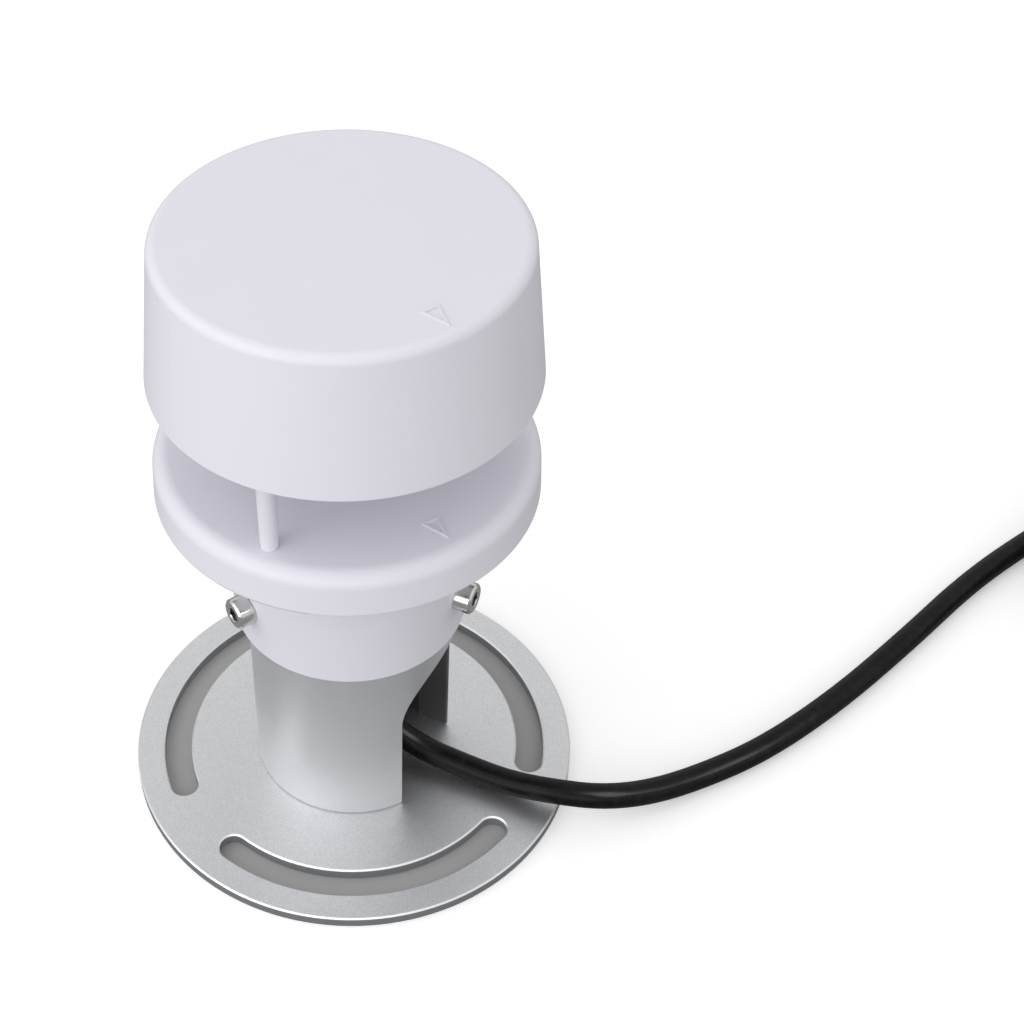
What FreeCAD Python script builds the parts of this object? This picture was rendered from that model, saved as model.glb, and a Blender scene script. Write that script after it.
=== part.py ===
import FreeCAD, Part
import math
import os
import re

import Sketcher

# Compact ultrasonic wind sensor: an aluminium flange and tube carry a moulded head, which is a neck with
# a reflector deck, three slim posts and a cap that holds four downward-looking ultrasonic transducers.
# Millimetres, +Z up. The origin is the centre of the flange's underside, and +Y is the direction mark.

os.makedirs("parts", exist_ok=True)
doc = FreeCAD.newDocument("wind_sensor")

# ---------------------------------------------------------------- driving dimensions

SIZES = {
    # flange
    "flange_radius": 52.5,
    "flange_thickness": 3.0,
    "edge_break": 0.35,
    "slot_circle": 42.75,
    "slot_width": 6.5,
    "slot_sweep": 90,
    "countersink_radius": 4.0,
    "countersink_depth": 2.0,
    "flange_hole_radius": 2.0,
    # mounting tube, with its spigot inside the neck
    "tube_radius": 23.2,
    "tube_bore": 17.5,
    "shoulder_height": 52.8,
    "spigot_radius": 20.5,
    "spigot_top": 72.8,
    "window_half": 13.27,
    "window_spring": 30.83,
    "flange_screw_circle": 20.35,
    "flange_screw_top": 12.0,
    "flange_screw_radius": 1.95,
    "flange_screw_head": 3.75,
    "flange_screw_sunk": 0.25,
    "flange_screw_key": 2.5,
    # neck gasket
    "gasket_bore": 20.7,
    "gasket_radius": 23.0,
    "neck_bottom": 53.3,
    # neck and reflector plate
    "neck_foot_radius": 26.0,
    "neck_head_radius": 27.3,
    "neck_bore": 20.6,
    "ledge_height": 76.5,
    "chamber_radius": 18.6,
    "plate_bottom": 89.5,
    "plate_foot_radius": 40.95,
    "plate_edge_round": 0.8,
    "plate_radius": 40.5,
    "deck_height": 100.1,
    "deck_thickness": 2.7,
    "deck_round": 3.45,
    "recess_inner": 27.9,
    "recess_outer": 38.2,
    "post_boss_radius": 3.2,
    "closure_boss_radius": 2.6,
    "closure_boss_top": 84.0,
    "rib_width": 5.0,
    # clamp screws round the neck
    "clamp_height": 65.0,
    "clamp_seat": 26.2,
    "clamp_face": 30.2,
    "clamp_head_radius": 3.5,
    "clamp_shank_radius": 1.95,
    "clamp_break": 0.45,
    "clamp_key": 3.0,
    "clamp_key_depth": 2.2,
    "insert_radius": 2.8,
    "insert_bore": 2.0,
    "insert_inner": 20.9,
    "insert_outer": 25.5,
    # posts
    "post_circle": 34.5,
    "post_foot_radius": 1.85,
    "post_head_radius": 2.05,
    "post_foot": 96.0,
    "post_boss_bottom": 92.0,
    "wire_bore": 1.2,
    "wire_height": 94.2,
    "wire_channel": 1.25,
    # cap
    "cap_bottom": 120.5,
    "cap_top": 152.1,
    "cap_foot_radius": 40.25,
    "cap_head_radius": 37.15,
    "cap_round": 2.1,
    "cap_mouth": 37.6,
    "cap_crown": 2.8,
    "cap_crown_bore": 34.3,
    "cap_ledge_bore": 35.6,
    "cap_ledge_radius": 37.3,
    "cap_gasket_bore": 35.7,
    "base_bottom": 122.5,
    "base_top": 125.0,
    "base_radius": 36.9,
    "cap_ledge": 125.4,
    "column_circle": 33.0,
    "column_radius": 2.6,
    "column_tap": 1.25,
    "column_hole": 1.4,
    "pillar_radius": 2.6,
    "pillar_tap": 1.0,
    # transducers
    "transducer_circle": 21.0,
    "transducer_height": 124.4,
    "transducer_radius": 5.0,
    "transducer_length": 9.0,
    "boot_radius": 5.8,
    "boss_radius": 7.0,
    # main circuit board, in the cap
    "main_board_bottom": 141.0,
    "main_board_radius": 27.0,
    "board_thickness": 1.6,
    "main_screw_circle": 22.0,
    # closure plate and interface board, in the neck
    "closure_bottom": 73.4,
    "closure_top": 76.0,
    "closure_radius": 20.2,
    "closure_screw_circle": 17.0,
    "interface_bottom": 88.0,
    "interface_radius": 17.4,
    "standoff_circle": 13.0,
    # cable gland
    "gland_bottom": 58.0,
    "gland_flats": 15.0,
    "gland_thread": 6.0,
    # direction mark, a raised outline
    "mark_base": 4.1,
    "mark_length": 6.2,
    "mark_line": 0.5,
    "mark_rise": 0.25,
    # cable
    "cable_radius": 3.0,
    "harness_radius": 0.8,
    "core_radius": 0.8,
    "coil_x": -216.0,
    "coil_y": 87.0,
    "coil_inner": 18.0,
    "coil_outer": 42.0,
    "coil_top": 18.0,
}

sheet = doc.addObject("Spreadsheet::Sheet", "Dimensions")
for row, (alias, number) in enumerate(SIZES.items(), 1):
    sheet.set(f"A{row}", alias)
    sheet.set(f"B{row}", str(number))
    sheet.setAlias(f"B{row}", alias)
doc.recompute()

# Three-fold patterns share the marks' axis; azimuths are in degrees from +X.
POSTS = (30, 150, 270)
CLAMPS = (0, 120, 240)
SLOTS = (60, 180, 300)
COLUMNS = (90, 210, 330)
TRANSDUCERS = (45, 135, 225, 315)
QUARTERS = (0, 90, 180, 270)
WINDOW = 120
WIRE_POST = 270

pieces = []


def size(alias):
    """The number that the sheet holds under this alias."""
    return sheet.get(alias)


def linked(text):
    """The text as an expression, with each alias pointing at the sheet."""
    return re.sub(r"[a-z_]+", lambda word: f"Dimensions.{word[0]}" if word[0] in SIZES else word[0], text)


def bind(item, prop, text):
    """Binds a property to an expression in the sheet's aliases."""
    item.setExpression(prop, linked(str(text)))


def place(item, x, y, z, yaw=0, pitch=0):
    """Puts an object at bound coordinates, turned by yaw about Z after pitch about Y."""
    item.Placement = FreeCAD.Placement(FreeCAD.Vector(), FreeCAD.Rotation(yaw, pitch, 0))
    bind(item, "Placement.Base.x", x)
    bind(item, "Placement.Base.y", y)
    bind(item, "Placement.Base.z", z)


def piece(label, item):
    """Names a finished sub-part and lists it for export."""
    item.Label = label
    pieces.append(item)
    return item


# ---------------------------------------------------------------- primitives and booleans

def cylinder(radius, bottom, top, circle=0, azimuth=0):
    """An upright cylinder between two heights, its axis on a circle round the origin."""
    item = doc.addObject("Part::Cylinder", "cylinder")
    bind(item, "Radius", radius)
    bind(item, "Height", f"{top} - ({bottom})")
    place(item, f"({circle}) * cos({azimuth} deg)", f"({circle}) * sin({azimuth} deg)", bottom)
    return item


def cone(lower, upper, bottom, top, circle=0, azimuth=0):
    """An upright cone frustum, its axis on a circle round the origin."""
    item = doc.addObject("Part::Cone", "cone")
    bind(item, "Radius1", lower)
    bind(item, "Radius2", upper)
    bind(item, "Height", f"{top} - ({bottom})")
    place(item, f"({circle}) * cos({azimuth} deg)", f"({circle}) * sin({azimuth} deg)", bottom)
    return item


def hexagon(flats, bottom, top, circle=0, azimuth=0):
    """An upright hexagonal prism of this width across flats."""
    item = doc.addObject("Part::Prism", "hexagon")
    item.Polygon = 6
    bind(item, "Circumradius", f"({flats}) / sqrt(3)")
    bind(item, "Height", f"{top} - ({bottom})")
    place(item, f"({circle}) * cos({azimuth} deg)", f"({circle}) * sin({azimuth} deg)", bottom, azimuth)
    return item


def block(depth, width, bottom, top, circle=0, azimuth=0):
    """A block centred on a circle round the origin, its depth along the radius."""
    item = doc.addObject("Part::Box", "block")
    bind(item, "Length", depth)
    bind(item, "Width", width)
    bind(item, "Height", f"{top} - ({bottom})")
    inner = f"({circle} - ({depth}) / 2)"
    half = f"(({width}) / 2)"
    x = f"{inner} * cos({azimuth} deg) + {half} * sin({azimuth} deg)"
    y = f"{inner} * sin({azimuth} deg) - {half} * cos({azimuth} deg)"
    place(item, x, y, bottom, azimuth)
    return item


def spoke(radius, inner, outer, height, azimuth):
    """A cylinder that lies along a radius, between two distances from the axis."""
    item = doc.addObject("Part::Cylinder", "spoke")
    bind(item, "Radius", radius)
    bind(item, "Height", f"{outer} - ({inner})")
    place(item, f"({inner}) * cos({azimuth} deg)", f"({inner}) * sin({azimuth} deg)", height, azimuth, 90)
    return item


def spoke_cone(inner_radius, outer_radius, inner, outer, height, azimuth):
    """A cone frustum that lies along a radius, between two distances from the axis."""
    item = doc.addObject("Part::Cone", "spoke_cone")
    bind(item, "Radius1", inner_radius)
    bind(item, "Radius2", outer_radius)
    bind(item, "Height", f"{outer} - ({inner})")
    place(item, f"({inner}) * cos({azimuth} deg)", f"({inner}) * sin({azimuth} deg)", height, azimuth, 90)
    return item


def transducer_cylinder(radius, start, end, azimuth):
    """A cylinder on a transducer's axis, which leans 45 degrees; distances run back from its face."""
    item = doc.addObject("Part::Cylinder", "leaning_cylinder")
    bind(item, "Radius", radius)
    bind(item, "Height", f"{end} - ({start})")
    reach = f"(transducer_circle + ({start}) * cos(45 deg))"
    height = f"transducer_height + ({start}) * sin(45 deg)"
    place(item, f"{reach} * cos({azimuth} deg)", f"{reach} * sin({azimuth} deg)", height, azimuth, 45)
    return item


def fuse(*items):
    """One solid out of several."""
    whole = doc.addObject("Part::MultiFuse", "fusion")
    whole.Shapes = list(items)
    whole.Refine = True
    return whole


def group(items):
    """Separate solids that share one node."""
    whole = doc.addObject("Part::Compound", "group")
    whole.Links = list(items)
    return whole


def cut(base, *tools):
    """The base without the tools."""
    whole = doc.addObject("Part::Cut", "cut")
    whole.Base = base
    whole.Tool = tools[0] if len(tools) == 1 else fuse(*tools)
    return whole


def ring(outer, inner, bottom, top, circle=0, azimuth=0):
    """A plain ring or tube."""
    return cut(cylinder(outer, bottom, top, circle, azimuth), cylinder(inner, bottom, top, circle, azimuth))


# ---------------------------------------------------------------- sketched bodies

def origin_plane(body, role):
    """One of the body's own origin planes."""
    return next(plane for plane in body.Origin.OriginFeatures if plane.Role == role)


def new_sketch(body, role):
    """An empty sketch on one of the body's origin planes."""
    sketch = body.newObject("Sketcher::SketchObject", "sketch")
    sketch.AttachmentSupport = [(origin_plane(body, role), "")]
    sketch.MapMode = "FlatFace"
    return sketch


def pin_coordinate(sketch, kind, line, text):
    """Fixes one coordinate of a line's start point, at zero on the axis or at a bound distance from it."""
    if text == 0:
        axis = -2 if kind == "DistanceX" else -1
        sketch.addConstraint(Sketcher.Constraint("PointOnObject", line, 1, axis))
        return
    number = sketch.addConstraint(Sketcher.Constraint(kind, -1, 1, line, 1, line + 1.0))
    bind(sketch, f"Constraints[{number}]", text)


def add_outline(sketch, corners):
    """A closed outline of straight lines whose corners are bound to the sheet."""
    first = len(sketch.Geometry)
    count = len(corners)
    for number in range(count):
        start = FreeCAD.Vector(1 + number, 1 + number * number, 0)
        following = (number + 1) % count
        end = FreeCAD.Vector(1 + following, 1 + following * following, 0)
        sketch.addGeometry(Part.LineSegment(start, end))
    for number, (across, up) in enumerate(corners):
        line = first + number
        previous = first + (number - 1) % count
        sketch.addConstraint(Sketcher.Constraint("Coincident", previous, 2, line, 1))
        pin_coordinate(sketch, "DistanceX", line, across)
        pin_coordinate(sketch, "DistanceY", line, up)


def turned(name, corners):
    """A body turned about the Z axis from an outline of (radius, height) corners."""
    body = doc.addObject("PartDesign::Body", name)
    sketch = new_sketch(body, "XZ_Plane")
    add_outline(sketch, corners)
    turning = body.newObject("PartDesign::Revolution", "turning")
    turning.Profile = sketch
    turning.ReferenceAxis = (sketch, ["V_Axis"])
    turning.Angle = 360
    doc.recompute()
    return body


def rims(shape, radius, height):
    """Names of the shape's circular edges of this radius at this height."""
    names = []
    for number, edge in enumerate(shape.Edges, 1):
        curve = edge.Curve
        if not isinstance(curve, Part.Circle):
            continue
        if abs(curve.Radius - radius) + abs(curve.Center.z - height) < 0.01:
            names.append(f"Edge{number}")
    return names


def dress(body, kind, prop, amount, names):
    """Rounds or breaks the named edges of the body's last feature."""
    feature = body.newObject(f"PartDesign::{kind}", kind.lower())
    feature.Base = (feature.BaseFeature, names)
    bind(feature, prop, amount)
    doc.recompute()
    return feature


def direction_mark(circle, height):
    """A raised triangle outline that points along +Y, standing on a face at this height."""
    body = doc.addObject("PartDesign::Body", "direction_mark")
    sketch = new_sketch(body, "XY_Plane")
    slant = "sqrt(mark_length^2 + (mark_base / 2)^2)"
    inner_apex = f"mark_length - mark_line * {slant} / (mark_base / 2)"
    inset = f"(mark_line * mark_base / 2 / mark_length + mark_line * {slant} / mark_length)"
    add_outline(sketch, [(0, 0), ("mark_base", 0), ("mark_base / 2", "mark_length")])
    add_outline(sketch, [
        (inset, "mark_line"),
        (f"mark_base - {inset}", "mark_line"),
        ("mark_base / 2", inner_apex),
    ])
    pad = body.newObject("PartDesign::Pad", "pad")
    pad.Profile = sketch
    bind(pad, "Length", "2 * mark_rise")
    place(body, "-mark_base / 2", f"{circle} - mark_length / 3", f"{height} - mark_rise")
    return body


# ---------------------------------------------------------------- paths of cables and wires

def smooth_path(name, points):
    """Straight runs joined by tangent arcs, each as large as its two runs allow."""
    corners = [FreeCAD.Vector(*point) for point in points]
    edges = []
    radii = []
    start = corners[0]
    for before, corner, after in zip(corners, corners[1:], corners[2:]):
        incoming = (corner - before).normalize()
        outgoing = (after - corner).normalize()
        turn = incoming.getAngle(outgoing)
        if turn < 0.001:
            continue
        reach = 0.45 * min((corner - before).Length, (after - corner).Length)
        radius = reach / math.tan(turn / 2)
        inwards = (outgoing - incoming).normalize()
        centre = corner + inwards * (radius / math.cos(turn / 2))
        arc_start = corner - incoming * reach
        arc_end = corner + outgoing * reach
        edges.append(Part.LineSegment(start, arc_start).toShape())
        edges.append(Part.Arc(arc_start, centre - inwards * radius, arc_end).toShape())
        radii.append(round(radius, 1))
        start = arc_end
    edges.append(Part.LineSegment(start, corners[-1]).toShape())
    path = Part.Wire(edges)
    print(name, "length", round(path.Length, 1), "radii", radii)
    return path


def tube_along(name, points, radius):
    """A round solid that follows the path through the points."""
    path = smooth_path(name, points)
    start = FreeCAD.Vector(*points[0])
    heading = FreeCAD.Vector(*points[1]) - start
    section = Part.Wire(Part.Circle(start, heading, radius).toShape())
    solid = path.makePipeShell([section], True, False)
    share = solid.Volume / (math.pi * radius ** 2 * path.Length)
    print(name, "volume over section times length", round(share, 4))
    return solid


def cord(label, points, alias):
    """A cable or wire as a sub-part of its own."""
    item = doc.addObject("Part::Feature", label)
    item.Shape = tube_along(label, points, size(alias))
    return piece(label, item)


def around(azimuth, profile):
    """Points of a path in an upright plane: (distance from the axis, height) pairs at this azimuth."""
    across = math.cos(math.radians(azimuth))
    along = math.sin(math.radians(azimuth))
    return [(reach * across, reach * along, height) for reach, height in profile]


# ---------------------------------------------------------------- flange

def slot_sketch(body):
    """An arc-shaped slot round the origin, on the -X side."""
    sketch = new_sketch(body, "XY_Plane")
    half = math.radians(size("slot_sweep") / 2)
    middle = size("slot_circle")
    reach = size("slot_width") / 2
    centre = FreeCAD.Vector()
    up = FreeCAD.Vector(0, 0, 1)
    ends = []
    for angle in (math.pi - half, math.pi + half):
        ends.append(FreeCAD.Vector(middle * math.cos(angle), middle * math.sin(angle), 0))
    inner_circle = Part.Circle(centre, up, middle - reach)
    outer_circle = Part.Circle(centre, up, middle + reach)
    inner = sketch.addGeometry(Part.ArcOfCircle(inner_circle, math.pi - half, math.pi + half))
    outer = sketch.addGeometry(Part.ArcOfCircle(outer_circle, math.pi - half, math.pi + half))
    upper_circle = Part.Circle(ends[0], up, reach)
    lower_circle = Part.Circle(ends[1], up, reach)
    upper = sketch.addGeometry(Part.ArcOfCircle(upper_circle, -half, math.pi - half))
    lower = sketch.addGeometry(Part.ArcOfCircle(lower_circle, math.pi + half, 2 * math.pi + half))
    sketch.addConstraint(Sketcher.Constraint("Coincident", inner, 3, -1, 1))
    sketch.addConstraint(Sketcher.Constraint("Coincident", outer, 3, -1, 1))
    sketch.addConstraint(Sketcher.Constraint("Tangent", upper, 1, inner, 1))
    sketch.addConstraint(Sketcher.Constraint("Tangent", upper, 2, outer, 1))
    sketch.addConstraint(Sketcher.Constraint("Tangent", lower, 2, inner, 2))
    sketch.addConstraint(Sketcher.Constraint("Tangent", lower, 1, outer, 2))
    inner_radius = sketch.addConstraint(Sketcher.Constraint("Radius", inner, middle - reach))
    outer_radius = sketch.addConstraint(Sketcher.Constraint("Radius", outer, middle + reach))
    above = sketch.addConstraint(Sketcher.Constraint("DistanceY", -1, 1, upper, 3, ends[0].y))
    below = sketch.addConstraint(Sketcher.Constraint("DistanceY", lower, 3, -1, 1, ends[0].y))
    bind(sketch, f"Constraints[{inner_radius}]", "slot_circle - slot_width / 2")
    bind(sketch, f"Constraints[{outer_radius}]", "slot_circle + slot_width / 2")
    for number in (above, below):
        bind(sketch, f"Constraints[{number}]", "slot_circle * sin(slot_sweep / 2 * 1 deg)")
    return sketch


def flange_plate():
    """The round base: three arc slots for turning it on its bolts, and countersinks under the tube."""
    body = doc.addObject("PartDesign::Body", "flange_body")
    disc = new_sketch(body, "XY_Plane")
    disc.addGeometry(Part.Circle(FreeCAD.Vector(), FreeCAD.Vector(0, 0, 1), size("flange_radius")))
    disc.addConstraint(Sketcher.Constraint("Coincident", 0, 3, -1, 1))
    number = disc.addConstraint(Sketcher.Constraint("Radius", 0, size("flange_radius")))
    bind(disc, f"Constraints[{number}]", "flange_radius")
    pad = body.newObject("PartDesign::Pad", "plate")
    pad.Profile = disc
    bind(pad, "Length", "flange_thickness")
    pocket = body.newObject("PartDesign::Pocket", "slot")
    pocket.Profile = slot_sketch(body)
    pocket.Type = "ThroughAll"
    pocket.Midplane = True
    doc.recompute()
    pattern = body.newObject("PartDesign::PolarPattern", "slots")
    pattern.Originals = [pocket]
    pattern.Axis = (disc, ["N_Axis"])
    pattern.Angle = 360
    pattern.Occurrences = len(SLOTS)
    body.Tip = pattern
    doc.recompute()
    flat_edges = []
    for number, edge in enumerate(pattern.Shape.Edges, 1):
        if edge.BoundBox.ZLength < 0.01:
            flat_edges.append(f"Edge{number}")
    dress(body, "Chamfer", "Size", "edge_break", flat_edges)
    ring_alias = "flange_screw_circle"
    tools = []
    for azimuth in SLOTS:
        sink = cone("countersink_radius", "flange_hole_radius", 0, "countersink_depth", ring_alias, azimuth)
        hole = cylinder("flange_hole_radius", "countersink_depth", "flange_thickness", ring_alias, azimuth)
        tools += [sink, hole]
    return piece("flange_plate", cut(body, *tools))


# ---------------------------------------------------------------- mounting tube

def mounting_tube():
    """The turned tube with its spigot; the cable window faces -Y before the body is turned into place."""
    body = turned("tube_body", [
        ("tube_bore", "flange_thickness"),
        ("tube_radius", "flange_thickness"),
        ("tube_radius", "shoulder_height"),
        ("spigot_radius", "shoulder_height"),
        ("spigot_radius", "spigot_top"),
        ("tube_bore", "spigot_top"),
    ])
    window = new_sketch(body, "XZ_Plane")
    half = size("window_half")
    foot = size("flange_thickness")
    spring = size("window_spring")
    corners = [(-half, spring), (-half, foot), (half, foot), (half, spring)]
    for (x, y), (following_x, following_y) in zip(corners, corners[1:]):
        start = FreeCAD.Vector(x, y, 0)
        window.addGeometry(Part.LineSegment(start, FreeCAD.Vector(following_x, following_y, 0)))
    crown = Part.Circle(FreeCAD.Vector(0, spring, 0), FreeCAD.Vector(0, 0, 1), half)
    window.addGeometry(Part.ArcOfCircle(crown, 0, math.pi))
    for number in (0, 1):
        window.addConstraint(Sketcher.Constraint("Coincident", number, 2, number + 1, 1))
    window.addConstraint(Sketcher.Constraint("Vertical", 0))
    window.addConstraint(Sketcher.Constraint("Horizontal", 1))
    window.addConstraint(Sketcher.Constraint("Vertical", 2))
    window.addConstraint(Sketcher.Constraint("Tangent", 2, 2, 3, 1))
    window.addConstraint(Sketcher.Constraint("Tangent", 3, 2, 0, 1))
    window.addConstraint(Sketcher.Constraint("PointOnObject", 3, 3, -2))
    radius = window.addConstraint(Sketcher.Constraint("Radius", 3, half))
    rise = window.addConstraint(Sketcher.Constraint("DistanceY", -1, 1, 3, 3, spring))
    bottom = window.addConstraint(Sketcher.Constraint("DistanceY", -1, 1, 1, 1, foot))
    bind(window, f"Constraints[{radius}]", "window_half")
    bind(window, f"Constraints[{rise}]", "window_spring")
    bind(window, f"Constraints[{bottom}]", "flange_thickness")
    pocket = body.newObject("PartDesign::Pocket", "window")
    pocket.Profile = window
    pocket.Type = "ThroughAll"
    pocket.Reversed = True
    doc.recompute()
    top = size("spigot_top")
    edges = rims(pocket.Shape, size("spigot_radius"), top) + rims(pocket.Shape, size("tube_radius"), foot)
    dress(body, "Chamfer", "Size", "edge_break", edges)
    body.Placement = FreeCAD.Placement(FreeCAD.Vector(), FreeCAD.Rotation(WINDOW - 270, 0, 0))
    holes = []
    for azimuth in SLOTS:
        reach = "flange_screw_top + 1"
        start = "flange_thickness"
        holes.append(cylinder("flange_hole_radius", start, reach, "flange_screw_circle", azimuth))
    return piece("mounting_tube", cut(body, *holes))


def flange_screws():
    """Countersunk screws that hold the tube to the flange from below."""
    ring_alias = "flange_screw_circle"
    sunk = "flange_screw_sunk"
    neck = "countersink_depth + 0.05"
    screws = []
    for azimuth in SLOTS:
        head = cone("flange_screw_head", "flange_screw_radius", sunk, neck, ring_alias, azimuth)
        shank = cylinder("flange_screw_radius", neck, "flange_screw_top", ring_alias, azimuth)
        socket = hexagon("flange_screw_key", sunk, f"{sunk} + 1.25", ring_alias, azimuth)
        screws.append(cut(fuse(head, shank), socket))
    return piece("flange_screws", group(screws))


# ---------------------------------------------------------------- neck and reflector plate

def lower_housing():
    """The moulded neck and reflector plate: one piece, hollow from below, with a deck on top."""
    body = turned("housing_body", [
        ("neck_bore", "neck_bottom"),
        ("neck_foot_radius", "neck_bottom"),
        ("neck_head_radius", "plate_bottom"),
        ("recess_inner", "plate_bottom"),
        ("recess_inner", "deck_height - deck_thickness"),
        ("recess_outer", "deck_height - deck_thickness"),
        ("recess_outer", "plate_bottom"),
        ("plate_foot_radius", "plate_bottom"),
        ("plate_radius", "deck_height"),
        (0, "deck_height"),
        (0, "deck_height - deck_thickness"),
        ("chamber_radius", "deck_height - deck_thickness"),
        ("chamber_radius", "ledge_height"),
        ("neck_bore", "ledge_height"),
    ])
    deck_rim = rims(body.Shape, size("plate_radius"), size("deck_height"))
    dress(body, "Fillet", "Radius", "deck_round", deck_rim)
    lower_rim = rims(body.Tip.Shape, size("plate_foot_radius"), size("plate_bottom"))
    dress(body, "Fillet", "Radius", "plate_edge_round", lower_rim)
    added = [direction_mark("31.65", "deck_height")]
    holes = []
    deck_under = "deck_height - 1"
    deck_over = "deck_height + 1"
    socket = "post_foot_radius + 0.1"
    circle = "closure_screw_circle"
    for azimuth in POSTS:
        added.append(cylinder("post_boss_radius", "post_boss_bottom", deck_under, "post_circle", azimuth))
        holes.append(cylinder(socket, "post_foot", deck_over, "post_circle", azimuth))
        added.append(cylinder("closure_boss_radius", "ledge_height", "closure_boss_top", circle, azimuth))
        holes.append(cylinder("column_tap", "ledge_height - 1", "closure_boss_top - 1", circle, azimuth))
        if azimuth != WIRE_POST:
            holes.append(cylinder("1.1", "post_boss_bottom - 1", "post_foot + 1", "post_circle", azimuth))
    # the wire channel leads from the hollow post through a rib and the wall into the chamber
    added.append(block("7", "rib_width", "post_boss_bottom", deck_under, "31", WIRE_POST))
    holes.append(cylinder("wire_bore", "wire_height - 1", "post_foot + 1", "post_circle", WIRE_POST))
    holes.append(spoke("wire_channel", "chamber_radius - 2", "post_circle - 0.3", "wire_height", WIRE_POST))
    for azimuth in CLAMPS:
        holes.append(spoke("insert_radius", "neck_bore - 3", "clamp_seat + 1", "clamp_height", azimuth))
        holes.append(spoke("clamp_head_radius + 0.25", "clamp_seat", "clamp_face", "clamp_height", azimuth))
    return piece("lower_housing", cut(fuse(body, *added), *holes))


def clamp_inserts():
    """Threaded brass sleeves moulded into the neck for the clamp screws."""
    sleeves = []
    for azimuth in CLAMPS:
        outside = spoke("insert_radius", "insert_inner", "insert_outer", "clamp_height", azimuth)
        bore = spoke("insert_bore", "insert_inner", "insert_outer", "clamp_height", azimuth)
        sleeves.append(cut(outside, bore))
    return piece("clamp_inserts", group(sleeves))


def key_socket(azimuth):
    """The hexagon for the key in a clamp screw's head."""
    socket = doc.addObject("Part::Prism", "key_socket")
    socket.Polygon = 6
    bind(socket, "Circumradius", "clamp_key / sqrt(3)")
    bind(socket, "Height", "clamp_key_depth")
    start = "(clamp_face - clamp_key_depth)"
    x = f"{start} * cos({azimuth} deg)"
    y = f"{start} * sin({azimuth} deg)"
    place(socket, x, y, "clamp_height", azimuth, 90)
    return socket


def clamp_screws():
    """Socket-head screws that clamp the neck on the spigot; their rims and key mouths are bevelled."""
    height = "clamp_height"
    bevel = "clamp_face - clamp_break"
    small = "clamp_head_radius - clamp_break"
    mouth = "clamp_key / sqrt(3)"
    screws = []
    for azimuth in CLAMPS:
        head = spoke("clamp_head_radius", "clamp_seat", bevel, height, azimuth)
        rim = spoke_cone("clamp_head_radius", small, bevel, "clamp_face", height, azimuth)
        shank = spoke("clamp_shank_radius", "spigot_radius + 0.15", "clamp_seat", height, azimuth)
        sink = spoke_cone(f"{mouth} - clamp_break", f"{mouth} + 0.1", bevel, "clamp_face", height, azimuth)
        screws.append(cut(fuse(head, rim, shank), key_socket(azimuth), sink))
    return piece("clamp_screws", group(screws))


def neck_gasket():
    """The flat rubber ring between the tube's shoulder and the neck."""
    return piece("neck_gasket", ring("gasket_radius", "gasket_bore", "shoulder_height", "neck_bottom"))


# ---------------------------------------------------------------- cap

def cap_base():
    """The cap's floor with its three posts, four slanted transducer bosses and four board pillars."""
    disc = cylinder("base_radius", "base_bottom", "base_top")
    leaning = fuse(*[transducer_cylinder("boss_radius", "-4", "8", azimuth) for azimuth in TRANSDUCERS])
    bosses = cut(leaning, cylinder("base_radius", "cap_bottom - 20", "cap_bottom + 0.1"))
    added = [bosses]
    holes = []
    board = "main_board_bottom"
    for azimuth in POSTS:
        radii = ("post_foot_radius", "post_head_radius")
        added.append(cone(*radii, "post_foot", "base_bottom + 1", "post_circle", azimuth))
        if azimuth != WIRE_POST:
            holes.append(cylinder("pillar_tap", "post_foot", "post_foot + 9", "post_circle", azimuth))
    holes.append(cylinder("wire_bore", "post_foot", "base_top", "post_circle", WIRE_POST))
    for azimuth in QUARTERS:
        added.append(cylinder("pillar_radius", "base_top - 1", board, "main_screw_circle", azimuth))
        holes.append(cylinder("pillar_tap", f"{board} - 8", board, "main_screw_circle", azimuth))
    for azimuth in COLUMNS:
        holes.append(cylinder("column_hole", "base_bottom", "base_top", "column_circle", azimuth))
    for azimuth in TRANSDUCERS:
        holes.append(transducer_cylinder("boot_radius + 0.05", "-8", "9", azimuth))
    return piece("cap_base", cut(fuse(disc, *added), *holes))


def top_cap():
    """The drafted hood, with a ledge for its gasket and three screw columns."""
    body = turned("cap_body", [
        ("cap_mouth", "cap_bottom"),
        ("cap_foot_radius", "cap_bottom"),
        ("cap_head_radius", "cap_top"),
        (0, "cap_top"),
        (0, "cap_top - cap_crown"),
        ("cap_crown_bore", "cap_top - cap_crown"),
        ("cap_ledge_bore", "cap_ledge"),
        ("cap_ledge_radius", "cap_ledge"),
    ])
    crown = rims(body.Shape, size("cap_head_radius"), size("cap_top"))
    dress(body, "Fillet", "Radius", "cap_round", crown)
    added = [direction_mark("30.4", "cap_top")]
    holes = []
    for azimuth in COLUMNS:
        added.append(cylinder("column_radius", "base_top + 0.2", "cap_top - 2", "column_circle", azimuth))
        holes.append(cylinder("column_tap", "base_top", "base_top + 12", "column_circle", azimuth))
    return piece("top_cap", cut(fuse(body, *added), *holes))


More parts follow.
